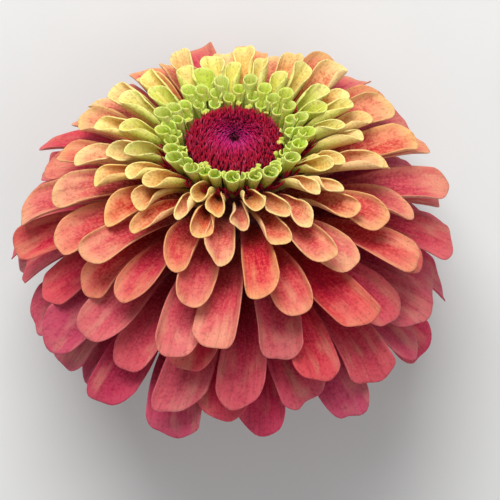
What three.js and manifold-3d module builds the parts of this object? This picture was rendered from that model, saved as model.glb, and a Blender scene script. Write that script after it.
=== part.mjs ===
// Double zinnia bloom on a short cut stem, lying down. Millimetres, +Z up.
// The bloom is worked out in a frame of its own: its axis is +Z and the disc's rim is at the origin.
// It is then leaned back until the stem's cut end and the lowest petals lie on the surface at z = 0.
import * as THREE from "three";
import { mergeVertices } from "three/addons/utils/BufferGeometryUtils.js";
import Module from "manifold-3d";

const wasm = await Module();
wasm.setup();

// Driving dimensions of the bloom
const bloomHeight = 50; // from the surface up to the disc's rim
const leanDeg = 44; // how far the bloom's axis is tipped up from level
const bloomPlace = new THREE.Vector2(-0.95, -19.55); // puts the part's own middle over the origin
const goldenAngle = THREE.MathUtils.degToRad(137.508);
const clearance = 0.24; // each side of the surface between two colours of petal
const bladeThickness = 0.7;

// Rays. A share runs from 0, the lowest ray, to 1, the highest.
const rayCount = 155;
const rayCrowding = 0.38; // how much closer the rays follow each other at both ends of their range
const coralFrom = 0.44; // the share from which rays are coral, with rose rays below them
const peachFrom = 0.7;
const rootLow = { radius: 8, z: -31 };
const rootHigh = { radius: 10, z: -7.5 };
const innerTips = { radius: 21.3, z: 1.2 };
const reachBeyondInner = 23.5;
const hangOfLowestTips = 43.5;
const fanOfTips = 1.963; // radians of a circle that the tips' radii follow, from highest to lowest
const handleShare = 0.36; // of a midline's two curve handles, against its straight length
const width = { lowest: 11.4, fall: 4.4, innerFlare: 2.4, spread: 0.1 };
const narrowestShare = 0.22; // of the width, at the root
const flatArc = 1.4; // radians that a low ray's root is bent through, from side to side
const scoopArc = 4.4;
const flatTipArc = 0.7;
const scoopTipArc = 3.8;
const tipBow = 1.4; // half the angle of a ray's round end
const tipRounding = 0.5; // how far the end is rounded back, as a share of the ray's width
const rayColumns = 4;
const droopingTo = 0.36; // the share up to which rays droop enough to need one more station
const lowStations = [0, 0.45, 0.8, 1]; // along a ray, from root to tip
const highStations = [0, 0.6, 1];

// Lime tubes, from the outermost at share 0 to the innermost at share 1
const tubeCount = 54;
const tubeSides = 5;
const tubeWall = 0.62;
const tubeBore = 3; // how deep the mouth is
const outerTube = { foot: new THREE.Vector2(11, -6), mouth: new THREE.Vector2(15.2, 3.6), radius: 1.45 };
const innerTube = { foot: new THREE.Vector2(10.2, -5), mouth: new THREE.Vector2(10.8, -0.2), radius: 0.95 };
const tubeFootRadius = 0.45;
const tubeRing = { radius: 10.6, top: -5.3 };

// Materials
const roseColour = 0xb8465a;
const coralColour = 0xd9644f;
const peachColour = 0xe0b060;
const limeColour = 0xb9cf48;
const crimsonColour = 0x9c1236;
const bractColour = 0x6f8f3c;
const stemColour = 0x7d9c4a;

const lean = THREE.MathUtils.degToRad(leanDeg);

// A repeatable draw between -1 and 1 for one ray or tube and one of its traits
function draw(index, trait) {
  const wave = Math.sin(index * 12.9898 + trait * 78.233 + 3.7) * 43758.5453;
  return 2 * (wave - Math.floor(wave)) - 1;
}

// The level of the surface under a point, measured along the bloom's own axis
function surfaceUnder(y) {
  return (Math.cos(lean) * y - bloomHeight) / Math.sin(lean);
}

// The larger of two values, rounded off where they are nearly equal
function smoothMax(a, b, width) {
  const near = Math.max(width - Math.abs(a - b), 0);
  return Math.max(a, b) + (near * near) / (4 * width);
}

// The midline of a ray, as a curve of radius and height
function rayMidline(share, lengthen = 0) {
  const left = 1 - share;
  const root = new THREE.Vector2(
    THREE.MathUtils.lerp(rootLow.radius, rootHigh.radius, share),
    THREE.MathUtils.lerp(rootLow.z, rootHigh.z, share),
  );
  const tip = new THREE.Vector2(
    innerTips.radius + reachBeyondInner * Math.sin(fanOfTips * left),
    innerTips.z * share ** 8 - hangOfLowestTips * Math.sign(left) * Math.abs(left) ** 1.72,
  );
  tip.lerp(root, -lengthen);
  const reach = tip.distanceTo(root);
  const rise = THREE.MathUtils.degToRad(12 + 48 * share);
  const droop = THREE.MathUtils.degToRad(-50 + 64 * share + 34 * share ** 8);
  return new THREE.CubicBezierCurve(
    root,
    new THREE.Vector2(Math.cos(rise), Math.sin(rise)).multiplyScalar(reach * handleShare).add(root),
    new THREE.Vector2(-Math.cos(droop), -Math.sin(droop)).multiplyScalar(reach * handleShare).add(tip),
    tip,
  );
}

// Surfaces of revolution between the colours, each a line of radius and height that runs on past the tips
function divide(share) {
  const curve = rayMidline(share);
  const points = curve.getPoints(24);
  const end = curve.getTangent(1).multiplyScalar(20).add(curve.v3);
  return [new THREE.Vector2(0, curve.v0.y), ...points, end];
}
const underTubes = [
  new THREE.Vector2(0, -7.2),
  new THREE.Vector2(10.9, -7.2),
  new THREE.Vector2(18.4, 1.5),
  new THREE.Vector2(19.5, 9),
];
const divides = {
  underRose: divide(-0.04),
  underCoral: divide(coralFrom),
  underPeach: divide(peachFrom),
};

// How far a point of radius and height lies above a dividing line, and the way up from it
function heightOver(line, point) {
  let best = { distance: Infinity, up: new THREE.Vector2(0, 1) };
  for (let i = 1; i < line.length; i += 1) {
    const along = line[i].clone().sub(line[i - 1]);
    const from = point.clone().sub(line[i - 1]);
    const share = THREE.MathUtils.clamp(from.dot(along) / along.lengthSq(), 0, 1);
    const away = from.sub(along.clone().multiplyScalar(share));
    const up = new THREE.Vector2(-along.y, along.x).normalize();
    const distance = away.length() * (away.dot(up) < 0 ? -1 : 1);
    if (Math.abs(distance) < Math.abs(best.distance)) best = { distance, up };
  }
  return best;
}

// Moves a point of the bloom, where it must, to lie between two dividing lines
function keepBetween(point, lower, overLower, upper, underUpper) {
  const flat = new THREE.Vector2(Math.hypot(point.x, point.y), point.z);
  const radiusBefore = flat.x;
  const over = heightOver(lower, flat);
  if (over.distance < overLower) flat.addScaledVector(over.up, overLower - over.distance);
  const under = heightOver(upper, flat);
  if (under.distance > -underUpper) flat.addScaledVector(under.up, -underUpper - under.distance);
  const spread = flat.x / radiusBefore;
  return new THREE.Vector3(point.x * spread, point.y * spread, flat.y);
}

// The way up from a grid of points at one of them, from its neighbours
function normalAt(grid, row, column) {
  const back = grid[Math.max(row - 1, 0)][column];
  const ahead = grid[Math.min(row + 1, grid.length - 1)][column];
  const left = grid[row][Math.max(column - 1, 0)];
  const right = grid[row][Math.min(column + 1, grid[row].length - 1)];
  return right.clone().sub(left).cross(ahead.clone().sub(back)).normalize();
}

// A closed plate from a grid of middle points, grid[row][column]; settle moves each finished corner
function plate(grid, thickness, settle) {
  const rows = grid.length;
  const columns = grid[0].length;
  const positions = [];
  for (const side of [0.5, -0.5]) {
    grid.forEach((row, r) =>
      row.forEach((point, c) => {
        const corner = point.clone().addScaledVector(normalAt(grid, r, c), side * thickness);
        positions.push(...settle(corner, side).toArray());
      }),
    );
  }
  const faces = [];
  const at = (side, row, column) => side * rows * columns + row * columns + column;
  const quad = (a, b, c, d) => faces.push(a, b, c, a, c, d);
  for (let r = 0; r < rows - 1; r += 1) {
    for (let c = 0; c < columns - 1; c += 1) {
      quad(at(0, r, c), at(0, r + 1, c), at(0, r + 1, c + 1), at(0, r, c + 1));
      faces.push(at(1, r, c), at(1, r + 1, c + 1), at(1, r + 1, c));
      faces.push(at(1, r, c), at(1, r, c + 1), at(1, r + 1, c + 1));
    }
  }
  for (let r = 0; r < rows - 1; r += 1) {
    quad(at(0, r, 0), at(1, r, 0), at(1, r + 1, 0), at(0, r + 1, 0));
    quad(at(0, r + 1, columns - 1), at(1, r + 1, columns - 1), at(1, r, columns - 1), at(0, r, columns - 1));
  }
  for (let c = 0; c < columns - 1; c += 1) {
    quad(at(0, 0, c + 1), at(1, 0, c + 1), at(1, 0, c), at(0, 0, c));
    quad(at(0, rows - 1, c), at(1, rows - 1, c), at(1, rows - 1, c + 1), at(0, rows - 1, c + 1));
  }
  return solidOf(positions, faces);
}

function solidOf(positions, faces) {
  const solid = new wasm.Manifold(
    new wasm.Mesh({
      numProp: 3,
      vertProperties: new Float32Array(positions),
      triVerts: new Uint32Array(faces),
    }),
  );
  return solid.volume() < 0 ? solidOf(positions, turnedFaces(faces)) : solid;
}

function turnedFaces(faces) {
  const turned = [];
  for (let i = 0; i < faces.length; i += 3) turned.push(faces[i], faces[i + 2], faces[i + 1]);
  return turned;
}

// A three.js geometry as a solid
function solidFrom(geometry) {
  const bare = geometry.clone();
  bare.deleteAttribute("normal");
  bare.deleteAttribute("uv");
  const merged = mergeVertices(bare, 1e-4);
  return solidOf(merged.attributes.position.array, merged.index.array);
}

// A solid of revolution round the bloom's axis, from [radius, height] pairs given from the bottom up
function turned(outline, sides) {
  const points = outline.map(([radius, height]) => new THREE.Vector2(radius, height));
  return solidFrom(new THREE.LatheGeometry(points, sides).rotateX(Math.PI / 2));
}

// Joins solids two by two until one is left
function joined(solids) {
  if (solids.length === 1) return solids[0];
  const pairs = [];
  for (let i = 0; i < solids.length; i += 2) {
    pairs.push(i + 1 < solids.length ? solids[i].add(solids[i + 1]) : solids[i]);
  }
  return joined(pairs);
}

// The largest body of a solid, with slivers smoothed away and any sealed hollow filled
function tidied(solid) {
  const bodies = solid.simplify(0.04).decompose();
  bodies.sort((a, b) => b.volume() - a.volume());
  return bodies[0];
}

// Where a ray stands on the way from the lowest, 0, to the highest, 1
function rayShare(index) {
  const order = index / (rayCount - 1);
  return order - (rayCrowding * Math.sin(2 * Math.PI * order)) / (2 * Math.PI);
}

// A ray's half width at each share of its length: a narrow claw, then a broad blade
function rayOutline(along) {
  return narrowestShare + (1 - narrowestShare) * THREE.MathUtils.smoothstep(along, -0.05, 0.84);
}

function rayWidth(index, share) {
  const typical = width.lowest - width.fall * share + width.innerFlare * share ** 8;
  return typical * (1 + width.spread * draw(index, 3));
}

// How far round a ray bends from side to side, at its root and at its tip
function rayArcs(index, share) {
  const scoop = THREE.MathUtils.smoothstep(share, 0.6, 0.94);
  const tipScoop = THREE.MathUtils.smoothstep(share, 0.55, 1);
  return {
    root: THREE.MathUtils.lerp(flatArc, scoopArc, scoop),
    tip: THREE.MathUtils.lerp(flatTipArc, scoopTipArc, tipScoop) * (1 + 0.2 * draw(index, 4)),
  };
}

function outwards(azimuth) {
  return new THREE.Vector3(-Math.sin(azimuth), Math.cos(azimuth), 0);
}

function alongside(azimuth) {
  return new THREE.Vector3(Math.cos(azimuth), Math.sin(azimuth), 0);
}

// One ray petal: a plate bent to an arc across, so it is a spoon low on the bloom and a scoop high on it
function ray(index, lower, upper) {
  const share = rayShare(index);
  const midline = rayMidline(share, 0.08 * draw(index, 1));
  const azimuth = index * goldenAngle + 0.06 * draw(index, 2);
  const across = rayWidth(index, share);
  const arcs = rayArcs(index, share);
  const roll = 0.3 * draw(index, 5);
  const sweep = 0.1 * draw(index, 6);
  const tipShare = (tipRounding * across) / midline.v3.distanceTo(midline.v0);
  const stations = share < droopingTo ? lowStations : highStations;
  const grid = stations.map((along) =>
    Array.from({ length: rayColumns }, (_, column) => {
      const level = (2 * column) / (rayColumns - 1) - 1;
      const bow = tipBow * level;
      const t = along - tipShare * (1 - Math.cos(bow)) * along ** 4;
      const centre = midline.getPoint(t);
      const tangent = midline.getTangent(t);
      const arc = THREE.MathUtils.lerp(arcs.root, arcs.tip, THREE.MathUtils.smoothstep(t, 0.4, 1));
      const bend = (across * rayOutline(along)) / arc;
      const angle = (arc * THREE.MathUtils.lerp(level, Math.sin(bow), along ** 3)) / 2;
      const out = outwards(azimuth + sweep * t * t);
      const ahead = out.clone().multiplyScalar(tangent.x).setZ(tangent.y);
      const side = alongside(azimuth + sweep * t * t).applyAxisAngle(ahead, -roll * t);
      const up = out.clone().multiplyScalar(-tangent.y).setZ(tangent.x).applyAxisAngle(ahead, -roll * t);
      const point = out.multiplyScalar(centre.x).setZ(centre.y);
      point.addScaledVector(side, bend * Math.sin(angle));
      point.addScaledVector(up, bend * (1 - Math.cos(angle)));
      return settled(point, share, along, lower, upper);
    }),
  );
  return plate(grid, bladeThickness, onSurface);
}

// A petal's middle point, kept in its own band and pressed up where it would go below the surface
function settled(point, share, along, lower, upper) {
  const underUpper = clearance + 0.75 * bladeThickness + 1.1 * Math.max(0, 1 - along / 0.3);
  const kept = keepBetween(point, lower, 1.25, upper, underUpper);
  const layer = (0.5 * bladeThickness + 6 * Math.max(0, share - 0.09)) / Math.sin(lean);
  kept.z = smoothMax(kept.z, surfaceUnder(kept.y) + layer, 3);
  return kept;
}

// Rests a petal's lower face on the surface, with its upper face a thickness higher
function onSurface(point, side) {
  const least = surfaceUnder(point.y) + ((side + 0.5) * bladeThickness) / Math.sin(lean);
  point.z = Math.max(point.z, least);
  return point;
}

// The ring of joined petal bases that holds one colour of petals round the receptacle
function collar(lower, upper, innerRadius, outerRadius) {
  const low = lower[0].y + clearance;
  const high = upper[0].y - clearance;
  const wall = [
    [innerRadius(low), low],
    [outerRadius, low],
    [outerRadius, high],
    [innerRadius(high), high],
    [innerRadius(low), low],
  ];
  return turned(wall, collarSides);
}

// The receptacle is a cone that widens upwards; the collars stand clear of it
function receptacleRadius(z) {
  const share = (z - rootLow.z) / (rootHigh.z - rootLow.z);
  return 5.9 + 1.7 * THREE.MathUtils.clamp(share, 0, 1);
}
const collarSides = 20;
const collarRadius = (z) => receptacleRadius(z) + 0.35;

function rays(first, last, lower, upper) {
  const petals = [];
  for (let index = first; index < last; index += 1) petals.push(ray(index, lower, upper));
  const outerRadius = THREE.MathUtils.lerp(rootLow.radius, rootHigh.radius, last / rayCount) + 0.4;
  return tidied(joined([collar(lower, upper, collarRadius, outerRadius), ...petals]));
}

// One lime tube: a small ray rolled into a straw, open at the top
function tube(index) {
  const share = index / (tubeCount - 1);
  const azimuth = (rayCount + index) * goldenAngle + 0.05 * draw(index, 11);
  const foot = outerTube.foot.clone().lerp(innerTube.foot, share);
  const mouth = outerTube.mouth.clone().lerp(innerTube.mouth, share);
  mouth.y += 0.4 * draw(index, 12);
  const radius = THREE.MathUtils.lerp(outerTube.radius, innerTube.radius, share) + 0.1 * draw(index, 13);
  const length = mouth.distanceTo(foot);
  const wall = [
    [0, 0],
    [tubeFootRadius, 0],
    [radius, length],
    [radius - tubeWall, length],
    [0, length - tubeBore],
  ];
  const points = wall.map(([r, height]) => new THREE.Vector2(r, height));
  const straw = new THREE.LatheGeometry(points, tubeSides);
  const out = outwards(azimuth);
  const axis = out.clone().multiplyScalar(mouth.x - foot.x).setZ(mouth.y - foot.y).normalize();
  straw.applyQuaternion(new THREE.Quaternion().setFromUnitVectors(new THREE.Vector3(0, 1, 0), axis));
  straw.translate(out.x * foot.x, out.y * foot.x, foot.y);
  return solidFrom(straw);
}

function tubes() {
  const straws = Array.from({ length: tubeCount }, (_, index) => tube(index));
  const low = underTubes[0].y + clearance;
  const ring = turned(
    [
      [collarRadius(0), low],
      [tubeRing.radius, low],
      [tubeRing.radius, tubeRing.top],
      [collarRadius(0), tubeRing.top],
      [collarRadius(0), low],
    ],
    collarSides,
  );
  return tidied(joined([ring, ...straws]));
}

// The crimson disc: a dome with a dark pit, stood over by pointed florets that lean inwards
function disc() {
  const floretCount = 84;
  const rim = 8.9;
  const dome = turned(
    [
      [0, -4.8],
      [8.2, -4.8],
      [9.3, -2],
      [8.6, -0.6],
      [6, 0],
      [2.6, -0.7],
      [0, -2.1],
    ],
    16,
  );
  const florets = Array.from({ length: floretCount }, (_, index) => {
    const share = Math.sqrt((index + 3) / (floretCount + 3));
    const radius = rim * share;
    const azimuth = index * goldenAngle;
    const height = 2.2 + 0.3 * draw(index, 21);
    const cone = new THREE.ConeGeometry(0.74, height, 3).translate(0, height / 2, 0);
    const inwards = new THREE.Vector3(-Math.cos(azimuth), -Math.sin(azimuth), 0);
    const axis = inwards.clone().multiplyScalar(0.15 + 0.55 * share ** 2).setZ(1).normalize();
    cone.applyQuaternion(new THREE.Quaternion().setFromUnitVectors(new THREE.Vector3(0, 1, 0), axis));
    const level = -0.8 - 1.6 * share ** 8 - 1.9 * (1 - share) ** 3;
    cone.translate(-inwards.x * radius, -inwards.y * radius, level);
    return solidFrom(cone);
  });
  return tidied(joined([dome, ...florets]));
}

// The outside of the green cup under the petals, as a curve of radius and height
const cupOutside = new THREE.CubicBezierCurve(
  new THREE.Vector2(3.3, -40.6),
  new THREE.Vector2(6.8, -40),
  new THREE.Vector2(8.8, -36.5),
  new THREE.Vector2(8.9, -32.4),
);

// The bracts: rounded scales in rows that overlap upwards, raised from the cup's outside.
// Three lines of points follow each row: its start under the row below, its middle, and its tips.
const bractRows = 4;
const bractsInRow = 10;
const pointsPerBract = 4;

function bracts() {
  const around = bractsInRow * pointsPerBract;
  const rings = [];
  for (let row = 0; row < bractRows; row += 1) {
    for (const along of [0.03, 0.5, 1]) {
      rings.push(Array.from({ length: around }, (_, place) => bractPoint(row, along, place / around)));
    }
  }
  const top = divides.underRose[0].y - clearance;
  for (const z of [top, -33.5, -36.5, -40.6]) {
    const radius = stemRadius(z) + 0.35;
    rings.push(Array.from({ length: around }, (_, place) => ringPoint(radius, z, place / around)));
  }
  return closedRound(rings);
}

function ringPoint(radius, z, turnShare) {
  return outwards(turnShare * 2 * Math.PI).multiplyScalar(radius).setZ(z);
}

// How far up the cup a row's tips reach: a row of tongues, staggered from the row below
function bractTips(row, turnShare) {
  if (row < 0) return 0;
  const tongue = 0.36 * Math.cos(2 * Math.PI * (turnShare * bractsInRow + row / 2));
  return (row + 0.8 + tongue) / (bractRows + 0.16);
}

function bractPoint(row, along, turnShare) {
  const t = THREE.MathUtils.lerp(bractTips(row - 1, turnShare), bractTips(row, turnShare), along);
  const tangent = cupOutside.getTangent(t);
  const flat = new THREE.Vector2(tangent.y, -tangent.x).multiplyScalar(0.1 + 0.75 * along);
  flat.add(cupOutside.getPoint(t));
  const point = ringPoint(flat.x, flat.y, turnShare);
  const over = heightOver(divides.underRose, flat);
  if (over.distance > -clearance) point.z -= over.distance + clearance;
  return point;
}

// A closed solid from rings of points, each joined to the next and the last to the first
function closedRound(rings) {
  const around = rings[0].length;
  const positions = rings.flat().flatMap((point) => point.toArray());
  const faces = [];
  rings.forEach((_, ring) => {
    const next = ((ring + 1) % rings.length) * around;
    for (let place = 0; place < around; place += 1) {
      const beside = (place + 1) % around;
      const corner = ring * around;
      faces.push(corner + place, next + place, next + beside);
      faces.push(corner + place, next + beside, corner + beside);
    }
  });
  return tidied(solidOf(positions, faces));
}

// The stem's radius at each height, up through the receptacle that it widens into
const stemSides = 14;
const receptacleTop = -5.1;
const stemThick = 2.3;
const stemBendFrom = -41;
const stemBend = 0.0036; // millimetres sideways for each square millimetre below that height
function stemRadius(z) {
  if (z > rootLow.z) return receptacleRadius(z);
  const share = THREE.MathUtils.smoothstep(z, -40, rootLow.z - 1);
  return stemThick + (receptacleRadius(z) - stemThick) * share;
}

function stem() {
  const end = bottomOfStem();
  const levels = [end, -60, -52, -46, -41, -38, -35.5, -33, rootLow.z, -20, rootHigh.z, receptacleTop];
  const outline = [[0, end], ...levels.map((z) => [stemRadius(z), z]), [0, receptacleTop]];
  const solid = turned(outline, stemSides);
  return solid.warp((vertex) => {
    vertex[1] += stemBend * Math.max(0, stemBendFrom - vertex[2]) ** 2;
    vertex[2] = Math.max(vertex[2], surfaceUnder(vertex[1]));
  });
}

// The stem is cut where its lower edge reaches just past the surface, which leaves a small flat there
function bottomOfStem() {
  let end = stemBendFrom;
  const bite = 0.35;
  const lowest = () => surfaceUnder(stemThick + stemBend * (stemBendFrom - end) ** 2);
  while (end > lowest() - bite) end -= 0.05;
  return end;
}

function meshOf(name, solid, colour, roughness) {
  const made = solid.getMesh();
  const material = new THREE.MeshStandardMaterial({ color: colour, roughness, metalness: 0 });
  const geometry = new THREE.BufferGeometry();
  geometry.setAttribute("position", new THREE.BufferAttribute(made.vertProperties, 3));
  geometry.setIndex(new THREE.BufferAttribute(made.triVerts, 1));
  geometry.computeVertexNormals();
  const mesh = new THREE.Mesh(geometry, material);
  mesh.name = name;
  return mesh;
}

const rayShares = Array.from({ length: rayCount }, (_, index) => rayShare(index));
const firstCoral = rayShares.findIndex((share) => share >= coralFrom);
const firstPeach = rayShares.findIndex((share) => share >= peachFrom);
const { underRose, underCoral, underPeach } = divides;

const bloom = new THREE.Group();
bloom.add(
  meshOf("stem", stem(), stemColour, 0.7),
  meshOf("bracts", bracts(), bractColour, 0.7),
  meshOf("rose_rays", rays(0, firstCoral, underRose, underCoral), roseColour, 0.55),
  meshOf("coral_rays", rays(firstCoral, firstPeach, underCoral, underPeach), coralColour, 0.55),
  meshOf("peach_rays", rays(firstPeach, rayCount, underPeach, underTubes), peachColour, 0.55),
  meshOf("lime_tubes", tubes(), limeColour, 0.5),
  meshOf("disc", disc(), crimsonColour, 0.8),
);
bloom.rotation.set(lean - Math.PI / 2, 0, Math.PI, "ZXY");
bloom.position.set(bloomPlace.x, bloomPlace.y, bloomHeight);

const zinnia = new THREE.Group();
zinnia.add(bloom);
export default zinnia;
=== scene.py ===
# Double zinnia bloom on a short cut stem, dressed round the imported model.
import bmesh
import bpy
import math
from mathutils import Matrix, Vector


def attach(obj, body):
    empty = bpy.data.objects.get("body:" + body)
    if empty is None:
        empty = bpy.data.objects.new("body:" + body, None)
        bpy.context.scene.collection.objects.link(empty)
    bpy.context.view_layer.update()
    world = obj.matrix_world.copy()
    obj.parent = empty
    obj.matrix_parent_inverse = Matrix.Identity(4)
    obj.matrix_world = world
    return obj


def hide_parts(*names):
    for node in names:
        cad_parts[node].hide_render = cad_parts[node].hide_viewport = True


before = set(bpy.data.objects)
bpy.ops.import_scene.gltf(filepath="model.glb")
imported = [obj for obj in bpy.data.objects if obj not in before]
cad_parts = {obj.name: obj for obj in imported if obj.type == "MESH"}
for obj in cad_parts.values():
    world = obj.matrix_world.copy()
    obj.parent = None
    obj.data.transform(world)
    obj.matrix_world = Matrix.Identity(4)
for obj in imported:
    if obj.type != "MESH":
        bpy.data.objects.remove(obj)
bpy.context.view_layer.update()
print("frame loaded")

mm = 0.001
goldenAngle = math.radians(137.508)

# The bloom in its own frame: its axis is +Z, the disc's rim is at the origin, sizes in millimetres.
# A ray's share is its place in their order, 0 for the lowest and 1 for the innermost.
bloom = {
    "height": 50,  # of the disc's rim over the floor
    "lean": math.radians(44),  # of the axis over the level
    "place": (-0.95, -19.55),
    "rays": 155,
    "tubes": 54,
    "crowding": 0.38,  # of the rays towards both ends of their order
    "coralFrom": 0.44,  # share of a colour's first ray
    "peachFrom": 0.7,
}
toWorld = (
    Matrix.Scale(mm, 4)
    @ Matrix.Translation((*bloom["place"], bloom["height"]))
    @ Matrix.Rotation(math.pi, 4, "Z")
    @ Matrix.Rotation(bloom["lean"] - math.pi / 2, 4, "X")
)

# Every trait that is drawn, with its number
traits = {
    "length": 1,
    "azimuth": 2,
    "width": 3,
    "opening": 4,
    "roll": 5,
    "sweep": 6,
    "tone": 7,
    "first": 8,
    "second": 9,
    "phase": 10,
    "tubeAzimuth": 11,
    "tubeHeight": 12,
    "tubeRadius": 13,
    "tipCurl": 14,
    "notch": 15,
    "tubeRoll": 16,
    "skew": 17,
    "tipLength": 18,
    "tipSkew": 19,
    "lip": 20,
    "bractAzimuth": 31,
    "floretInward": 40,
    "floretAzimuth": 41,
    "floretHeight": 42,
    "floretAside": 43,
    "floretGlint": 44,
    "chaffRadius": 45,
    "chaffOut": 46,
    "chaffAside": 47,
    "chaffHeight": 48,
    "hairLevel": 51,
    "hairAzimuth": 52,
    "hairLength": 53,
    "hairTurn": 54,
    "hairDroop": 55,
    "curlAzimuth": 61,
    "curlRadius": 62,
    "curlOut": 63,
    "curlAside": 64,
    "curlTurns": 65,
    "curlFacing": 66,
    "curlSize": 67,
}


def draw(index, trait):  # a repeatable draw between -1 and 1, the same as the solids use
    wave = math.sin(index * 12.9898 + traits[trait] * 78.233 + 3.7) * 43758.5453
    return 2 * (wave - math.floor(wave)) - 1


def stray(piece, index, trait):  # a draw within the spread that the piece's dictionary allows
    return piece["spread"][trait] * draw(index, trait)


def tints(index):  # two draws between 0 and 1 that vary a colour
    return 0.5 + 0.5 * draw(index, "first"), 0.5 + 0.5 * draw(index, "second")


def mix(a, b, share):
    return a + (b - a) * share


def clamp(value, low=0.0, high=1.0):
    return min(max(value, low), high)


def smooth(low, high, value):
    share = clamp((value - low) / (high - low))
    return share * share * (3 - 2 * share)


def smoothMax(a, b, width):
    near = max(width - abs(a - b), 0)
    return max(a, b) + near * near / (4 * width)


def outwards(azimuth):
    return Vector((-math.sin(azimuth), math.cos(azimuth), 0))


def alongside(azimuth):
    return Vector((math.cos(azimuth), math.sin(azimuth), 0))


def upwards(height):
    return Vector((0, 0, height))


def between(first, last, share):
    return Vector(first).lerp(Vector(last), share)


def floorUnder(y):  # the floor's level under a point, measured along the bloom's own axis
    return (math.cos(bloom["lean"]) * y - bloom["height"]) / math.sin(bloom["lean"])


def bezier(points, t):
    a, b, c, d = points
    return (1 - t) ** 3 * a + 3 * (1 - t) ** 2 * t * b + 3 * (1 - t) * t * t * c + t**3 * d


def bezierSlope(points, t):
    a, b, c, d = points
    slope = (1 - t) ** 2 * (b - a) + 2 * (1 - t) * t * (c - b) + t * t * (d - c)
    return slope.normalized()


# Mesh helpers
def newSheets():
    bm = bmesh.new()
    bm.loops.layers.uv.new("UVMap")
    bm.verts.layers.float_color.new("tone")
    return bm


def toneLayer(bm):
    return bm.verts.layers.float_color["tone"]


def sheet(bm, columns, rows, place, tone):  # place turns (across, along) into a point of the bloom
    grid = bmesh.ops.create_grid(bm, x_segments=columns, y_segments=rows, size=1, calc_uvs=True)
    layer = toneLayer(bm)
    for vert in grid["verts"]:
        across, along = vert.co.x, (vert.co.y + 1) / 2
        vert[layer] = (*tone, 1)
        vert.co = toWorld @ place(across, along)


def spike(bm, foot, axis, height, segments, radii):  # a slim cone; says which vertices are at its tip
    stand = upwards(1).rotation_difference(axis).to_matrix().to_4x4()
    matrix = toWorld @ Matrix.Translation(foot) @ stand @ Matrix.Translation((0, 0, height / 2))
    thick, thin = radii
    cone = bmesh.ops.create_cone(
        bm, segments=segments, radius1=thick, radius2=thin, depth=height, cap_ends=True, matrix=matrix
    )
    heading = matrix.to_3x3() @ upwards(1)
    return {vert: (vert.co - matrix.translation).dot(heading) > 0 for vert in cone["verts"]}


def link(thing):
    bpy.context.scene.collection.objects.link(thing)


def newPiece(name, bm, materials, replaces=None):
    mesh = bpy.data.meshes.new(name)
    bm.to_mesh(mesh)
    bm.free()
    for face in mesh.polygons:
        face.use_smooth = True
    for material in materials:
        mesh.materials.append(material)
    piece = bpy.data.objects.new(name, mesh)
    link(piece)
    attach(piece, "root")
    if replaces:
        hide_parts(replaces)
    return piece


def thicken(piece, thickness, backMaterial=0):
    shell = piece.modifiers.new("Thickness", "SOLIDIFY")
    shell.thickness = thickness * mm
    shell.offset = 0
    shell.use_even_offset = False
    shell.material_offset = backMaterial
    soft = piece.modifiers.new("Smooth", "SUBSURF")
    soft.levels = 1
    soft.render_levels = 1


# Material helpers
def hexColour(text):  # "#rrggbb", as it looks on a screen, turned linear
    parts = [int(text[i : i + 2], 16) / 255 for i in (1, 3, 5)]
    return (*[c / 12.92 if c <= 0.04045 else ((c + 0.055) / 1.055) ** 2.4 for c in parts], 1)


def newMaterial(name, fixed):
    material = bpy.data.materials.new(name)
    material.use_nodes = True
    shader = material.node_tree.nodes["Principled BSDF"]
    for socket, value in fixed.items():
        shader.inputs[socket].default_value = value
    return material, material.node_tree, shader


def feed(tree, source, socket):  # a socket takes a plain value or another node's output
    if isinstance(source, bpy.types.NodeSocket):
        tree.links.new(source, socket)
    else:
        socket.default_value = source


def maths(tree, operation, *values):
    node = tree.nodes.new("ShaderNodeMath")
    node.operation = operation
    for value, socket in zip(values, node.inputs):
        feed(tree, value, socket)
    return node.outputs[0]


def times(tree, *values):
    return maths(tree, "MULTIPLY", *values)


def timesPlus(tree, value, factor, addend):
    return maths(tree, "MULTIPLY_ADD", value, factor, addend)


def ease(tree, value, low, high, toLow=0.0, toHigh=1.0):
    node = tree.nodes.new("ShaderNodeMapRange")
    node.interpolation_type = "SMOOTHSTEP"
    for source, socket in zip((value, low, high, toLow, toHigh), node.inputs):
        feed(tree, source, socket)
    return node.outputs[0]


def blend(tree, share, first, second, kind="MIX"):
    node = tree.nodes.new("ShaderNodeMix")
    node.data_type = "RGBA"
    node.blend_type = kind
    for source, socket in zip((share, first, second), (node.inputs[0], node.inputs[6], node.inputs[7])):
        feed(tree, source, socket)
    return node.outputs[2]


def ramp(tree, value, colours, places):
    node = tree.nodes.new("ShaderNodeValToRGB")
    elements = node.color_ramp.elements
    while len(elements) < len(places):
        elements.new(0.5)
    for element, place, colour in zip(elements, places, colours.split()):
        element.position = place
        element.color = hexColour(colour)
    feed(tree, value, node.inputs[0])
    return node.outputs[0]


def noise(tree, vector, scale, detail=3.0):
    node = tree.nodes.new("ShaderNodeTexNoise")
    node.inputs["Scale"].default_value = scale
    node.inputs["Detail"].default_value = detail
    feed(tree, vector, node.inputs["Vector"])
    return node.outputs[0]


def streaks(tree, places, scales, detail=3.0):  # noise with a scale of its own for each of three places
    node = tree.nodes.new("ShaderNodeCombineXYZ")
    for place, scale, socket in zip(places, scales, node.inputs):
        feed(tree, times(tree, place, scale), socket)
    return noise(tree, node.outputs[0], 1.0, detail)


def objectPlace(tree):
    return tree.nodes.new("ShaderNodeTexCoord").outputs["Object"]


def sheetPlace(tree):  # across from 0 to 1, along from 0 at the root to 1 at the tip
    uv = tree.nodes.new("ShaderNodeUVMap")
    uv.uv_map = "UVMap"
    split = tree.nodes.new("ShaderNodeSeparateXYZ")
    tree.links.new(uv.outputs[0], split.inputs[0])
    return split.outputs[0], split.outputs[1]


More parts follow.
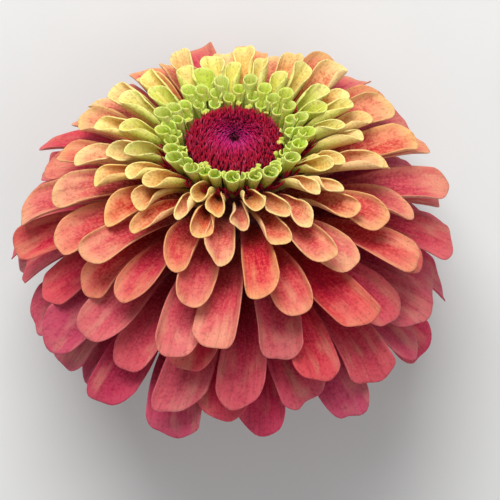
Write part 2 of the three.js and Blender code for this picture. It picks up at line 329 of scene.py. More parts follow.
def toneParts(tree):
    attribute = tree.nodes.new("ShaderNodeAttribute")
    attribute.attribute_name = "tone"
    split = tree.nodes.new("ShaderNodeSeparateColor")
    tree.links.new(attribute.outputs["Color"], split.inputs[0])
    return split.outputs[0], split.outputs[1], split.outputs[2]


def roughen(tree, shader, height, strength, depth):
    node = tree.nodes.new("ShaderNodeBump")
    node.inputs["Strength"].default_value = strength
    node.inputs["Distance"].default_value = depth * mm
    tree.links.new(height, node.inputs["Height"])
    tree.links.new(node.outputs[0], shader.inputs["Normal"])


def mottled(name, fixed, scale, bounds, colours, bump):  # two colours in spots that also make the bump
    material, tree, shader = newMaterial(name, fixed)
    spots = noise(tree, objectPlace(tree), scale)
    first, second = [hexColour(colour) for colour in colours]
    feed(tree, blend(tree, ease(tree, spots, *bounds), first, second), shader.inputs["Base Color"])
    roughen(tree, shader, spots, *bump)
    return material


# Petal colours at eight tones, from 0 for the lowest rays to 1 for the innermost scoops and tubes
tones = (0, 0.3, 0.5, 0.65, 0.78, 0.87, 0.94, 1)
petalFace = {
    "root": "#7c0c2c #8c0e2c #9c102a #a41426 #ac2826 #c06634 #bcae3e #9cb83a",
    "middle": "#b41c4a #bc1e44 #c02040 #c62e3a #d05c48 #e2aa60 #dccc60 #b6cb48",
    "tip": "#d04c68 #d4585e #d86c5e #e49272 #eebe82 #f0d48e #e2dc74 #c8d856",
    "margin": "#b64c6e #ca686a #dea070 #e8be78 #f0d486 #f2e28c #ece892 #dfea88",
}
# Backs paler than the faces: partly their own colour, partly painted light that lifts their shade and stands
# in for the sheen at the rim
petalBack = {
    "root": "#a05468 #b06066 #c28c60 #ceb668 #cec85c #bec850 #acc242 #9ab836",
    "middle": "#c05e74 #cc6c76 #dc9078 #e8b07c #ecca78 #e2d26a #ced458 #b6c848",
    "tip": "#cc6a80 #d67c7c #e29480 #ecaa86 #f2c28a #f0d482 #dedc6c #c8d856",
    "margin": "#d48496 #de908c #e8aa8e #f0be92 #f4d094 #f2e092 #ecea90 #dfea88",
}
petalLook = {
    "surface": {"Roughness": 0.6, "Sheen Weight": 0.08, "Sheen Roughness": 0.4, "Specular IOR Level": 0.3},
    "scatter": (1.2 * mm, 0.5 * mm, 0.3 * mm),
    "veins": (22, 2.2, 40),  # scales across a petal, along it and from one petal to the next
    "blotches": (4, 3, 40),
    "threads": (60, 9, 1),
    "patches": 420,  # per metre
    "grain": 1800,
    "bump": (0.6, 0.2),
    "gold": "#e8b088",
    "shade": "#b08888",
}


def petalMaterial(name, colours, glow):
    fixed = {**petalLook["surface"], "Subsurface Weight": glow, "Subsurface Radius": petalLook["scatter"]}
    material, tree, shader = newMaterial(name, fixed)
    across, along = sheetPlace(tree)
    tone, first, second = toneParts(tree)
    place = objectPlace(tree)
    root, middle, tip, margin = [
        ramp(tree, tone, colours[part], tones) for part in ("root", "middle", "tip", "margin")
    ]
    fromRib = maths(tree, "ABSOLUTE", timesPlus(tree, across, 2.0, -1.0))
    vein = streaks(tree, (across, along, first), petalLook["veins"], 5.0)
    patch = noise(tree, place, petalLook["patches"], 5.0)
    grain = noise(tree, place, petalLook["grain"], 4.0)
    thread = streaks(tree, (across, along, second), petalLook["threads"], 4.0)
    # Dark root, blushed middle and paler tip, with uneven bounds; the dark root is partly the petal's own
    # deep base and partly painted shade between the rows
    uneven = timesPlus(tree, vein, 0.35, -0.17)
    colour = blend(tree, ease(tree, maths(tree, "ADD", along, uneven), 0.22, 0.62), root, middle)
    reach = timesPlus(tree, patch, 0.5, timesPlus(tree, fromRib, 0.22, along))
    colour = blend(tree, ease(tree, reach, 0.85, 1.35), colour, tip)
    # Golden blotches towards the tip, and painted shade in two grooves up from the root, where the pleats
    # fold
    blotch = streaks(tree, (across, along, second), petalLook["blotches"], 3.0)
    blotch = times(tree, ease(tree, blotch, 0.45, 0.7, 0.0, 0.6), ease(tree, along, 0.45, 0.8))
    colour = blend(tree, blotch, colour, blend(tree, 0.6, margin, hexColour(petalLook["gold"])))
    grooveShade = maths(tree, "COSINE", timesPlus(tree, across, 6 * math.pi, -3 * math.pi))
    grooveShade = times(tree, ease(tree, grooveShade, 0.5, 1.0, 0.0, 0.35), ease(tree, along, 0.9, 0.5))
    colour = blend(tree, grooveShade, colour, root)
    # Pale margin round the sides and the tip, fainter on the lowest rays: partly the petal's own pale edge
    # and partly a painted highlight where the margins catch the light
    side = times(tree, ease(tree, fromRib, 0.6, 1.0), ease(tree, along, 0.3, 0.65))
    rim = maths(tree, "MAXIMUM", side, ease(tree, along, 0.8, 1.0))
    rim = times(tree, rim, timesPlus(tree, patch, 1.2, 0.1))
    rim = times(tree, rim, ease(tree, tone, 0.15, 0.6, 0.4, 1.0))
    colour = blend(tree, rim, colour, margin)
    # Veins, threads and velvety grain
    dark = blend(tree, 1.0, colour, hexColour(petalLook["shade"]), "MULTIPLY")
    colour = blend(tree, ease(tree, vein, 0.48, 0.7, 0.0, 0.35), colour, dark)
    colour = blend(tree, ease(tree, thread, 0.48, 0.7, 0.0, 0.5), colour, tip)
    colour = blend(tree, ease(tree, grain, 0.45, 0.66, 0.0, 0.4), colour, tip)
    colour = blend(tree, ease(tree, grain, 0.5, 0.3, 0.0, 0.4), colour, dark)
    # No two petals have quite the same colour
    vary = tree.nodes.new("ShaderNodeHueSaturation")
    feed(tree, timesPlus(tree, first, 0.012, 0.494), vary.inputs["Hue"])
    feed(tree, timesPlus(tree, second, 0.1, 0.97), vary.inputs["Saturation"])
    feed(tree, timesPlus(tree, first, 0.16, 0.92), vary.inputs["Value"])
    feed(tree, colour, vary.inputs["Color"])
    feed(tree, vary.outputs[0], shader.inputs["Base Color"])
    roughen(tree, shader, maths(tree, "ADD", vein, times(tree, grain, 0.5)), *petalLook["bump"])
    return material


rayMaterials = [petalMaterial("petalFace", petalFace, 0.1), petalMaterial("petalBack", petalBack, 0.1)]
tubeMaterials = [petalMaterial("tubeInside", petalFace, 0.4), petalMaterial("tubeOutside", petalBack, 0.4)]
print("petal materials made")

# Midlines of the rays, as radius and height
midline = {
    "rootLow": (8, -31),
    "rootHigh": (10, -7.5),
    "innerTip": (21.3, 1.2),
    "reach": 23.5,  # of the widest rays past the innermost tips
    "fan": 1.963,  # radians of a sine, over which the reach grows from the innermost ray to the lowest
    "hang": 43.5,  # of the lowest tips
    "hangPower": 1.72,
    "innerPower": 8,  # keeps a change to the innermost rays
    "handle": 0.36,
    "rise": (12, 48),  # degrees at the root: of the lowest ray, and what share adds
    "droop": (-50, 64, 34),  # degrees at the tip: of the lowest ray, what share adds, and the innermost more
}

# Ray petals
rays = {
    "thickness": 0.32,
    "columns": 8,
    "rows": 13,
    "rowCrowding": 1.35,  # of a petal's rows towards its tip
    "width": {"lowest": 11.4, "fall": 4.4, "innerFlare": 2.4},
    "narrowest": 0.22,  # of its widest, at the root
    "widens": (-0.05, 0.84),  # from and to these shares of its length
    "lopsided": 0.12,
    "sideWave": 0.035,
    "pleat": 0.15,
    "ripple": 0.35,
    "tipCurl": 1.1,
    "tipBow": 1.4,  # radians of a half tip's round
    "ragged": 0.45,
    "notch": 0.9,
    "notchWidth": 0.2,
    "layering": 6,  # height over the floor that a ray keeps for each share above the pressed ones
    "pressedTo": 0.09,
    "spread": {  # how far a draw may take each trait
        "length": 0.08,
        "azimuth": 0.06,
        "width": 0.1,
        "opening": 0.2,
        "roll": 0.3,
        "sweep": 0.1,
        "skew": 0.2,
        "phase": 3,
        "tipSkew": 0.14,
        "lip": 0.6,
        "tone": 0.02,
    },
}
# Traits that change with the share: the value before, the value after, and from and to which share it changes
graded = {
    "rolledArc": (1.4, 5.3, 0.6, 0.94),  # radians of roll near the root
    "openArc": (0.7, 4.3, 0.55, 1),  # and near the tip
    "opensFrom": (0.4, 0.65, 0.6, 0.9),
    "tipLength": (0.5, 0.75, 0.45, 0.75),
    "frill": (0.18, 0.45, 0.4, 0.7),
    "innerFrill": (1, 0.4, 0.9, 1),
    "rimWave": (0, 0.45, 0.6, 0.75),
    "innerRimWave": (1, 0, 0.9, 1),
    "lip": (0, 0.6, 0.1, 0.4),
    "innerLip": (1, 0, 0.75, 0.95),
    "toneTurns": (0, 1, 0.3, 0.7),
}
# Rays that face the camera are redder than their share, those at the back yellower
toneShift = {"side": 0.045, "front": 0.13, "back": 0.015, "inner": 0.07}


def rayShare(index):
    order = index / (bloom["rays"] - 1)
    return order - bloom["crowding"] * math.sin(2 * math.pi * order) / (2 * math.pi)


def rayMidline(share, lengthen):
    left, inner = 1 - share, share ** midline["innerPower"]
    root = between(midline["rootLow"], midline["rootHigh"], share)
    tipRadius, tipHeight = midline["innerTip"]
    tipRadius += midline["reach"] * math.sin(midline["fan"] * left)
    tipHeight = tipHeight * inner - midline["hang"] * left ** midline["hangPower"]
    tip = Vector((tipRadius, tipHeight))
    tip = tip + (tip - root) * lengthen
    reach = (tip - root).length * midline["handle"]
    rise = math.radians(midline["rise"][0] + midline["rise"][1] * share)
    droop = math.radians(midline["droop"][0] + midline["droop"][1] * share + midline["droop"][2] * inner)
    bend = root + Vector((math.cos(rise), math.sin(rise))) * reach
    fall = tip - Vector((math.cos(droop), math.sin(droop))) * reach
    return root, bend, fall, tip


def rayOutline(along):  # half width as a share of the widest
    return mix(rays["narrowest"], 1, smooth(*rays["widens"], along))


def rayTone(index, share, azimuth):
    facing = outwards(azimuth).y
    shift = toneShift["side"] + toneShift["front" if facing < 0 else "back"] * facing
    shift = shift * grade("toneTurns", share) - toneShift["inner"] * share**6
    return clamp(share + shift + stray(rays, index, "tone")), *tints(index)


def grade(trait, share):
    before, after, low, high = graded[trait]
    return mix(before, after, smooth(low, high, share))


def rayShape(index):  # returns the ray's place function and its tone
    share = rayShare(index)
    line = rayMidline(share, stray(rays, index, "length"))
    length = (line[3] - line[0]).length * 1.05
    azimuth = index * goldenAngle + stray(rays, index, "azimuth")
    size = rays["width"]
    width = size["lowest"] - size["fall"] * share + size["innerFlare"] * share ** midline["innerPower"]
    width *= 1 + stray(rays, index, "width")
    rolled = grade("rolledArc", share)
    opened = grade("openArc", share) * (1 + stray(rays, index, "opening"))
    opensFrom = grade("opensFrom", share)
    tipLength = width * (grade("tipLength", share) + mix(0.26, 0.14, share) * draw(index, "tipLength"))
    tipSkew = width * stray(rays, index, "tipSkew")
    tipCurl = rays["tipCurl"] * (draw(index, "tipCurl") - 0.3) * (1 - share)
    notch = rays["notch"] * max(0, draw(index, "notch")) * (1 - share)
    ragged = rays["ragged"] * (1 - share)
    frill = grade("frill", share) * grade("innerFrill", share)
    wave = grade("rimWave", share) * grade("innerRimWave", share)
    lip = grade("lip", share) * grade("innerLip", share) * (1 + stray(rays, index, "lip"))
    skew = stray(rays, index, "skew")
    roll = stray(rays, index, "roll")
    sweep = stray(rays, index, "sweep")
    phase = stray(rays, index, "phase")
    over = 0.5 * rays["thickness"] + rays["layering"] * max(0, share - rays["pressedTo"])
    layer = over / math.sin(bloom["lean"])

    def relief(across, along, t):  # pleats, waves and curls that stand off the rolled sheet
        height = -rays["pleat"] * math.cos(3 * math.pi * across) * smooth(0.1, 0.5, t)
        height += rays["ripple"] * abs(across) ** 3 * math.sin(11 * t + phase + across) * smooth(0.35, 0.9, t)
        height += tipCurl * smooth(0.75, 1.05, t) ** 2
        height += frill * math.sin(4.5 * across + phase) * smooth(0.7, 1.05, t)
        height += wave * math.sin(7 * across + 2 * phase) * smooth(0.7, 1.0, along)
        return height + lip * across**4 * smooth(0.3, 0.8, t)

    def place(across, step):
        along = 1 - (1 - step) ** rays["rowCrowding"]
        bow = rays["tipBow"] * across
        across = mix(across, math.sin(bow), along**3)
        tip = tipLength * (1 - math.cos(bow)) + tipSkew * across
        tip += notch * math.exp(-((across / rays["notchWidth"]) ** 2))
        tip += ragged * math.sin(6 * across + 3 * phase)
        t = along - tip / length * along**4
        centre, slope = bezier(line, t), bezierSlope(line, t)
        arc = mix(rolled, opened, smooth(opensFrom, 1, t))
        uneven = 1 + rays["lopsided"] * share**6 * across + rays["sideWave"] * math.sin(7 * along + 2 * phase)
        bend = width * rayOutline(along) / arc * uneven
        angle = arc * (across + skew * across**2) / 2
        turn = azimuth + sweep * t * t
        out, aside = outwards(turn), alongside(turn)
        up = upwards(slope.x) - out * slope.y
        rolledSide = aside * math.cos(roll * t) + up * math.sin(roll * t)
        rolledUp = up * math.cos(roll * t) - aside * math.sin(roll * t)
        point = out * centre.x + upwards(centre.y)
        point += rolledSide * bend * math.sin(angle) + rolledUp * bend * (1 - math.cos(angle))
        point += (rolledUp * math.cos(angle) - rolledSide * math.sin(angle)) * relief(across, along, t)
        point.z = smoothMax(point.z, floorUnder(point.y) + layer, 3)
        return point

    return place, rayTone(index, share, azimuth)


def rayPiece(name, first, last, node):
    bm = newSheets()
    for index in range(first, last):
        place, tone = rayShape(index)
        sheet(bm, rays["columns"], rays["rows"], place, tone)
    piece = newPiece(name, bm, rayMaterials, node)
    thicken(piece, rays["thickness"], 1)


def firstRay(share):
    return next(index for index in range(bloom["rays"]) if rayShare(index) >= share)


firstCoral, firstPeach = firstRay(bloom["coralFrom"]), firstRay(bloom["peachFrom"])
rayPiece("roseRays", 0, firstCoral, "rose_rays")
rayPiece("coralRays", firstCoral, firstPeach, "coral_rays")
rayPiece("peachRays", firstPeach, bloom["rays"], "peach_rays")
print("ray petals made")

# Lime tubes: small rays rolled into straws round the disc
tubes = {
    "outer": {"foot": (11, -6), "mouth": (15.2, 3.6), "radius": 1.45},
    "inner": {"foot": (10.2, -5), "mouth": (10.8, -0.2), "radius": 0.95},
    "footRadius": 0.5,
    "flare": 0.16,  # of the mouth
    "thickness": 0.34,
    "columns": 14,
    "rows": 8,
    "roll": 6.0,  # radians, nearly a full turn
    "overlap": 0.06,
    "slant": 0.14,  # of the mouth's far side
    "floor": 0.68,  # how far up the straw's inside closes
    "floorSides": 10,
    "tone": 1.0,
    "spread": {"tubeAzimuth": 0.05, "tubeHeight": 0.4, "tubeRadius": 0.1, "tubeRoll": 0.08, "skew": 0.8},
}
# Little ragged curls on the disc's rim
curls = {
    "count": 26,
    "radius": 10.2,
    "foot": -2.8,
    "rise": 1.9,
    "risenAt": 0.55,
    "curlsFrom": 0.45,
    "turns": 2.6,
    "size": 0.5,
    "width": 0.4,
    "columns": 2,
    "rows": 8,
    "tone": 0.98,
    "spread": {
        "curlAzimuth": 0.3,
        "curlRadius": 0.35,
        "curlOut": 0.5,
        "curlAside": 0.5,
        "curlTurns": 1.2,
        "curlFacing": 1.5,
        "curlSize": 0.12,
    },
}


def tubeShape(index):
    share = index / (bloom["tubes"] - 1)
    azimuth = (bloom["rays"] + index) * goldenAngle + stray(tubes, index, "tubeAzimuth")
    outer, inner = tubes["outer"], tubes["inner"]
    foot = between(outer["foot"], inner["foot"], share)
    mouth = between(outer["mouth"], inner["mouth"], share)
    mouth.y += stray(tubes, index, "tubeHeight")
    radius = mix(outer["radius"], inner["radius"], share) + stray(tubes, index, "tubeRadius")
    roll = tubes["roll"] * (1 + stray(tubes, index, "tubeRoll"))
    seam = stray(tubes, index, "skew")
    out, aside = outwards(azimuth), alongside(azimuth)
    axis = (mouth - foot).normalized()
    up = upwards(axis.x) - out * axis.y

    def place(across, along):
        angle = roll * across / 2
        t = along * (1 - tubes["slant"] * (0.5 - 0.5 * math.cos(angle + seam)) * along)
        centre = foot.lerp(mouth, t)
        reach = mix(tubes["footRadius"], radius, t**0.8) * (1 + tubes["overlap"] * across)
        reach += tubes["flare"] * smooth(0.75, 1, along)
        point = out * centre.x + upwards(centre.y)
        return point + aside * reach * math.sin(angle + seam) - up * reach * math.cos(angle + seam)

    return place, (tubes["tone"], *tints(index))


def curlShape(index):
    azimuth = index * goldenAngle + stray(curls, index, "curlAzimuth")
    out, aside = outwards(azimuth), alongside(azimuth)
    foot = out * (curls["radius"] + stray(curls, index, "curlRadius")) + upwards(curls["foot"])
    lean = out * stray(curls, index, "curlOut") + aside * stray(curls, index, "curlAside")
    turns = curls["turns"] + stray(curls, index, "curlTurns")
    facing = azimuth + stray(curls, index, "curlFacing")
    size = curls["size"] + stray(curls, index, "curlSize")

    def place(across, along):
        rise = curls["rise"] * min(along / curls["risenAt"], 1)
        angle = turns * max(0, along - curls["curlsFrom"]) / (1 - curls["curlsFrom"])
        point = foot + lean * rise + upwards(rise + size * math.sin(angle))
        point -= outwards(facing) * size * (1 - math.cos(angle))
        return point + alongside(facing) * curls["width"] * across * (1 + 0.5 * along)

    return place, (curls["tone"], *tints(index))


def tubePiece():
    bm = newSheets()
    layer = toneLayer(bm)
    for index in range(bloom["tubes"]):
        place, tone = tubeShape(index)
        sheet(bm, tubes["columns"], tubes["rows"], place, tone)
        inside = bmesh.ops.create_circle(
            bm, segments=tubes["floorSides"], radius=1, cap_ends=True, calc_uvs=True
        )
        for vert in inside["verts"]:
            vert[layer] = (*tone, 1)
            vert.co = toWorld @ place(math.atan2(vert.co.x, vert.co.y) / 3.2, tubes["floor"])
    for index in range(curls["count"]):
        place, tone = curlShape(index)
        sheet(bm, curls["columns"], curls["rows"], place, tone)
    piece = newPiece("limeTubes", bm, tubeMaterials, "lime_tubes")
    thicken(piece, tubes["thickness"], 1)


tubePiece()
print("lime tubes made")

# Crimson disc: bristly florets that lean in to a dark pit
disc = {
    "florets": 2300,
    "radius": 9.8,
    "floretRadii": (0.22, 0.05),
    "floretHeight": 1.7,
    "pitHeight": 0.6,  # of that height, in the pit
    "inward": (0.1, 0.8),  # how far florets lean in everywhere, and what the ring round the pit adds
    "sunk": 1.4,  # of the florets' feet under the disc's level
    "core": 8.7,
    "coreSunk": 1.1,
    "coreBottom": -5,
    "crown": 0.9,
    "rimFall": 2,
    "pit": 2.6,
    "leanAt": 0.35,  # share of the radius at which florets lean in most
    "leanOver": 0.25,
    "spread": {"floretInward": 0.25, "floretAzimuth": 0.1, "floretHeight": 0.5, "floretAside": 0.3},
}
# Dark bristles between the feet of the tubes
chaff = {
    "count": 360,
    "radius": 10.4,
    "band": 4.4,
    "foot": -5,
    "slope": 0.5,
    "height": 3,
    "radii": (0.35, 0.06),
    "tone": (1, 0.3, 0.7, 1),
    "outward": 0.5,
    "spread": {"chaffOut": 0.4, "chaffAside": 0.5, "chaffHeight": 0.8},
}


def discMaterial():
    fixed = {
        "Roughness": 0.6,
        "Specular IOR Level": 0.2,
        "Sheen Weight": 0.15,
        "Sheen Tint": hexColour("#e878c8"),
    }
    material, tree, shader = newMaterial("discFlorets", fixed)
    share, first, height = toneParts(tree)
    # Darker towards each floret's foot, and on the core that shows between the florets: painted shade deep
    # among the bristles
    low = ramp(tree, share, "#200209 #4a0418 #74051f #6a061c", (0, 0.25, 0.6, 1))
    high = ramp(tree, share, "#3a0412 #740830 #c01070 #c00c54 #b80a32 #b00a24", (0, 0.14, 0.3, 0.5, 0.7, 1))
    colour = blend(tree, ease(tree, height, 0.2, 0.9), low, high)
    # Pale violet-pink glints on a few florets: painted highlights
    glint = blend(tree, 0.6, colour, hexColour("#e878b0"))
    colour = blend(tree, ease(tree, first, 0.8, 1.0, 0.0, 0.5), colour, glint)
    feed(tree, colour, shader.inputs["Base Color"])
    return material


def discLevel(share):
    return disc["crown"] - disc["rimFall"] * share**4 - disc["pit"] * (1 - share) ** 3


def florets(bm, layer):
    for index in range(disc["florets"]):
        share = math.sqrt((index + 2) / (disc["florets"] + 2))
        azimuth = index * goldenAngle + stray(disc, index, "floretAzimuth")
        out = outwards(azimuth)
        height = disc["floretHeight"] + stray(disc, index, "floretHeight")
        height *= mix(disc["pitHeight"], 1, smooth(0, disc["leanAt"], share))
        everywhere, ring = disc["inward"]
        inward = everywhere + ring * math.exp(-(((share - disc["leanAt"]) / disc["leanOver"]) ** 2))
        inward += stray(disc, index, "floretInward")
        axis = alongside(azimuth) * stray(disc, index, "floretAside") + upwards(1) - out * inward
        foot = out * disc["radius"] * share + upwards(discLevel(share) - disc["sunk"])
        # a draw that picks which florets get a painted glint
        tint = 0.5 + 0.5 * draw(index, "floretGlint")
        # tips take the bright ramp, feet the dark one: painted shade among the bristles
        for vert, atTip in spike(bm, foot, axis, height, 4, disc["floretRadii"]).items():
            vert[layer] = (share, tint, 1 if atTip else 0, 1)


def bristles(bm, layer):
    for index in range(chaff["count"]):
        azimuth = index * goldenAngle
        out = outwards(azimuth)
        band = chaff["band"] * abs(draw(index, "chaffRadius"))
        foot = out * (chaff["radius"] + band) + upwards(chaff["foot"] + chaff["slope"] * band)
        aside = alongside(azimuth) * stray(chaff, index, "chaffAside")
        axis = out * (chaff["outward"] + stray(chaff, index, "chaffOut")) + aside + upwards(1)
        height = chaff["height"] + stray(chaff, index, "chaffHeight")
        for vert in spike(bm, foot, axis, height, 4, chaff["radii"]):
            vert[layer] = chaff["tone"]


def discCore(bm, layer):
    for vert in bmesh.ops.create_uvsphere(bm, u_segments=36, v_segments=20, radius=1)["verts"]:
        share = min(1, math.hypot(vert.co.x, vert.co.y))
        level = discLevel(share) - disc["coreSunk"] if vert.co.z > -0.01 else disc["coreBottom"]
        # the core sits low on the dark ramp: painted shade between the florets
        vert[layer] = (share, 0.3, 0.25, 1)
        vert.co = toWorld @ Vector((vert.co.x * disc["core"], vert.co.y * disc["core"], level))


def discPiece():
    bm = newSheets()
    layer = toneLayer(bm)
    florets(bm, layer)
    bristles(bm, layer)
    discCore(bm, layer)
    newPiece("discFlorets", bm, [discMaterial()], "disc")


discPiece()
print("disc made")

# Green cup of bracts under the petals
greenScatter = (0.6 * mm, 0.9 * mm, 0.3 * mm)
bracts = {
    "rows": 4,
    "inRow": 10,
    "columns": 6,
    "lines": 6,
    "thickness": 0.45,
    "cup": ((3.3, -40.6), (6.8, -40), (8.8, -36.5), (8.9, -32.4)),  # a curve of radius and height
    "below": 0.75,  # how far a scale runs down and up the cup, in rows
    "above": 1.16,
    "tipLift": 0.75,
    "ribLift": 0.12,
    "pointed": 0.55,
    "wide": 1.25,  # of its even share of the round
    "tipRound": 0.18,
    "spread": {"bractAzimuth": 0.05},
}


def bractMaterial():
    fixed = {"Roughness": 0.6, "Subsurface Weight": 0.05, "Subsurface Radius": greenScatter}
    material, tree, shader = newMaterial("bract", fixed)
    across, along = sheetPlace(tree)
    first = toneParts(tree)[1]
    fromRib = maths(tree, "ABSOLUTE", timesPlus(tree, across, 2.0, -1.0))
    streak = streaks(tree, (across, along, first), (24, 2, 30))
    colour = blend(tree, ease(tree, streak, 0.35, 0.7), hexColour("#5f7f2c"), hexColour("#8aa64a"))
    edge = maths(tree, "MAXIMUM", ease(tree, fromRib, 0.72, 1.0), ease(tree, along, 0.82, 1.0))
    colour = blend(tree, times(tree, edge, 0.8), colour, hexColour("#3b2a1c"))
    feed(tree, colour, shader.inputs["Base Color"])
    roughen(tree, shader, streak, 0.4, 0.15)
    return material


def bractShape(row, number):
    index = row * bracts["inRow"] + number
    turn = 2 * math.pi / bracts["inRow"]
    azimuth = (number + 0.5 * row) * turn + stray(bracts, index, "bractAzimuth")
    cup = [Vector(point) for point in bracts["cup"]]
    rowsInAll = bracts["rows"] - 1 + bracts["above"]
    start, end = max(0, row - bracts["below"]) / rowsInAll, (row + bracts["above"]) / rowsInAll

    def place(across, along):
        t = clamp(mix(start, end, along * (1 - bracts["tipRound"] * across * across * along)))
        centre, slope = bezier(cup, t), bezierSlope(cup, t)
        lift = bracts["tipLift"] * along**1.5 + bracts["ribLift"] * (1 - across * across)
        flat = centre + Vector((slope.y, -slope.x)) * lift
        half = (1 - bracts["pointed"] * smooth(0.55, 1, along)) * bracts["wide"] * turn / 2
        return outwards(azimuth + across * half) * flat.x + upwards(flat.y)

    return place, (0.5, *tints(index))


def bractPiece():
    bm = newSheets()
    for row in range(bracts["rows"]):
        for number in range(bracts["inRow"]):
            place, tone = bractShape(row, number)
            sheet(bm, bracts["columns"], bracts["lines"], place, tone)
    piece = newPiece("bractScales", bm, [bractMaterial()], "bracts")
    thicken(piece, bracts["thickness"])


bractPiece()
print("bracts made")

# Stem with the receptacle at its top
stem = {
    "radius": 2.3,
    "end": -68.2,
    "bendFrom": -41,
    "bend": 0.0036,
    "sides": 40,
    "ridges": 8,
    "ridgeHeight": 0.03,
    "rind": 0.12,  # of the cut end, as a share of its radius
    "rings": 26,  # up to the bend
    "widens": (-40, -32),
    "coneRings": 29,
    "coneStep": 1.2,
    "receptacle": {"low": 5.9, "high": 7.6, "cover": 0.6, "from": -31.5},
}
hairs = {
    "count": 420,
    "length": 0.9,
    "radii": (0.06, 0.012),
    "droop": -0.35,
    "clear": 0.05,  # of a hair's tip over the floor
    "endMargin": 1.5,
    "rooted": 0.97,  # of the stem's radius, where a hair starts
    "spread": {"hairLength": 0.35, "hairTurn": 0.3, "hairDroop": 0.3},
}


def receptacleRadius(z):
    low, high = midline["rootLow"][1], midline["rootHigh"][1]
    return mix(stem["receptacle"]["low"], stem["receptacle"]["high"], clamp((z - low) / (high - low)))


def stemRadius(z):
    return mix(stem["radius"], receptacleRadius(z) + stem["receptacle"]["cover"], smooth(*stem["widens"], z))


def stemPoint(azimuth, radius, z):
    ridged = radius * (1 + stem["ridgeHeight"] * math.cos(stem["ridges"] * azimuth))
    point = outwards(azimuth) * ridged + upwards(z)
    point.y += stem["bend"] * max(0, stem["bendFrom"] - z) ** 2
    point.z = max(point.z, floorUnder(point.y))
    return point


def stemMaterial():
    fixed = {"Roughness": 0.55, "Subsurface Weight": 0.05, "Subsurface Radius": greenScatter}
    material, tree, shader = newMaterial("stemSkin", fixed)
    place = objectPlace(tree)
    mottle = noise(tree, place, 260.0)
    fine = noise(tree, place, 1600.0)
    colour = blend(tree, ease(tree, mottle, 0.3, 0.7), hexColour("#6f8c3a"), hexColour("#93ab55"))
    colour = blend(tree, ease(tree, fine, 0.5, 0.75, 0.0, 0.15), colour, hexColour("#7a5a48"))
    feed(tree, colour, shader.inputs["Base Color"])
    roughen(tree, shader, fine, 0.4, 0.15)
    return material


def stemPiece():
    skin, cut, receptacle = 0, 1, 2
    materials = [
        stemMaterial(),
        mottled("stemCut", {"Roughness": 0.5}, 2200.0, (0.4, 0.6), ("#dfe3b4", "#a9bb74"), (0.6, 0.2)),
        # dark maroon receptacle: painted shade deep between the petal roots
        mottled("receptacle", {"Roughness": 0.7}, 900.0, (0.35, 0.65), ("#4a1420", "#7c3a34"), (0.6, 0.3)),
    ]
    bm = bmesh.new()
    ring = bmesh.ops.create_circle(bm, segments=stem["sides"], radius=1, cap_ends=True)["verts"]
    bmesh.ops.inset_individual(bm, faces=bm.faces[:], thickness=stem["rind"], depth=0)
    edges = [edge for edge in bm.edges if all(vert in ring for vert in edge.verts)]
    azimuths = {vert: math.atan2(-vert.co.x, vert.co.y) for vert in bm.verts}
    for face in bm.faces:
        face.material_index = cut
    for vert, azimuth in azimuths.items():
        vert.co = toWorld @ stemPoint(azimuth, stemRadius(stem["end"]) * vert.co.length, stem["end"])
    levels = [mix(stem["end"], stem["bendFrom"], i / stem["rings"]) for i in range(1, stem["rings"] + 1)]
    levels += [stem["widens"][0] + stem["coneStep"] * i for i in range(1, stem["coneRings"] + 1)]
    for z in levels:
        grown = bmesh.ops.extrude_edge_only(bm, edges=edges)["geom"]
        edges = [item for item in grown if isinstance(item, bmesh.types.BMEdge)]
        grownFrom = {}
        for vert in [item for item in grown if isinstance(item, bmesh.types.BMVert)]:
            neighbours = [edge.other_vert(vert) for edge in vert.link_edges]
            grownFrom[vert] = next(azimuths[other] for other in neighbours if other in azimuths)
        azimuths = grownFrom
        for vert, azimuth in azimuths.items():
            vert.co = toWorld @ stemPoint(azimuth, stemRadius(z), z)
        for face in {face for edge in edges for face in edge.link_faces}:
            face.material_index = receptacle if z > stem["receptacle"]["from"] else skin
    bmesh.ops.contextual_create(bm, geom=edges)
    bmesh.ops.recalc_face_normals(bm, faces=bm.faces[:])
    newPiece("stemAndReceptacle", bm, materials, "stem")


def hairMaterial():
    material, tree, shader = newMaterial("stemHair", {"Roughness": 0.5})
    tint = noise(tree, objectPlace(tree), 300.0)
    feed(tree, blend(tree, tint, hexColour("#c9d2a0"), hexColour("#e8ead2")), shader.inputs["Base Color"])
    return material


def hairPiece():
    bm = bmesh.new()
    for index in range(hairs["count"]):
        level = 0.5 + 0.5 * draw(index, "hairLevel")
        z = mix(stem["end"] + hairs["endMargin"], stem["bendFrom"], level)
        azimuth = math.pi * draw(index, "hairAzimuth")
        foot = stemPoint(azimuth, stemRadius(z) * hairs["rooted"], z)
        height = hairs["length"] + stray(hairs, index, "hairLength")
        droop = hairs["droop"] + stray(hairs, index, "hairDroop")
        axis = outwards(azimuth + stray(hairs, index, "hairTurn")) + upwards(droop)
        tip = foot + axis * height
        if tip.z >= floorUnder(tip.y) + hairs["clear"]:
            spike(bm, foot, axis, height, 3, hairs["radii"])
    newPiece("stemHairs", bm, [hairMaterial()])


stemPiece()
hairPiece()
print("stem made")

# Floor, light and camera
stage = {
    "floorSize": 1.5,  # metres
    "lights": {  # from where, how far away, how wide in metres, and watts
        "keyLight": ((0.15, -0.9, 0.9), 0.9, 0.6, 9),
        "fillLight": ((-0.6, 0.3, 1.0), 1.1, 0.8, 1.5),
    },
    "lightsAim": -15,
    "sky": (0.95, 0.97, 1.0, 1),
    "skyStrength": 0.4,
    "lens": 152,
    "distance": 420,
    "elevation": math.radians(45.5),  # over the bloom's own level, as the disc's ellipse shows
    "rightOfDisc": 3.15,  # the picture's middle
    "belowDisc": 22.7,
}


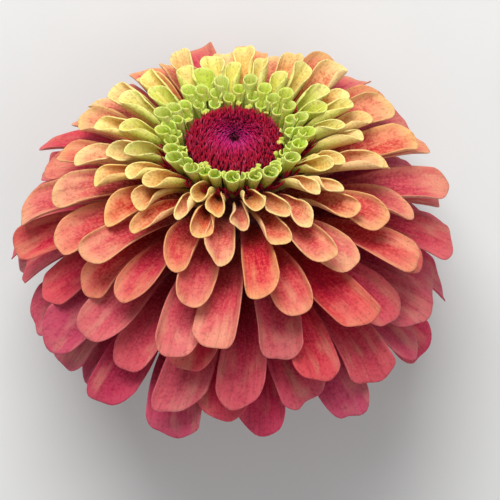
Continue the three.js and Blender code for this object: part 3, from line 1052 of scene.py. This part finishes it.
def floorPiece():
    bm = bmesh.new()
    bmesh.ops.create_grid(bm, x_segments=8, y_segments=8, size=stage["floorSize"])
    mesh = bpy.data.meshes.new("floor")
    bm.to_mesh(mesh)
    bm.free()
    material, tree, shader = newMaterial("floorPaint", {"Roughness": 0.8})
    tint = noise(tree, objectPlace(tree), 40.0)
    colour = blend(tree, tint, (0.72, 0.72, 0.7, 1), (0.76, 0.76, 0.74, 1))
    feed(tree, colour, shader.inputs["Base Color"])
    mesh.materials.append(material)
    floor = bpy.data.objects.new("floor", mesh)
    link(floor)


def areaLight(name, towards, away, size, power):
    data = bpy.data.lights.new(name, "AREA")
    data.energy = power
    data.size = size
    lamp = bpy.data.objects.new(name, data)
    middle = toWorld @ upwards(stage["lightsAim"])
    lamp.location = middle + Vector(towards).normalized() * away
    lamp.rotation_euler = (middle - lamp.location).to_track_quat("-Z", "Y").to_euler()
    link(lamp)


def sky():
    world = bpy.data.worlds.new("softSky")
    world.use_nodes = True
    background = world.node_tree.nodes["Background"]
    background.inputs["Color"].default_value = stage["sky"]
    background.inputs["Strength"].default_value = stage["skyStrength"]
    bpy.context.scene.world = world
    bpy.context.scene.view_settings.view_transform = "Standard"


def cameraPiece():
    sine, cosine = math.sin(stage["elevation"]), math.cos(stage["elevation"])
    turn = toWorld.to_3x3().normalized()
    right, up = turn @ Vector((1, 0, 0)), turn @ Vector((0, sine, cosine))
    back = turn @ Vector((0, -cosine, sine))
    aim = Vector((stage["rightOfDisc"], 0, 0)) - Vector((0, sine, cosine)) * stage["belowDisc"]
    data = bpy.data.cameras.new("camera")
    data.lens = stage["lens"]
    data.sensor_width = 36
    camera = bpy.data.objects.new("camera", data)
    facing = Matrix((right, up, back)).transposed().to_4x4()
    camera.matrix_world = Matrix.Translation(toWorld @ aim + back * stage["distance"] * mm) @ facing
    link(camera)
    bpy.context.scene.camera = camera


floorPiece()
for lightName, settings in stage["lights"].items():
    areaLight(lightName, *settings)
sky()
cameraPiece()
print("stage set")
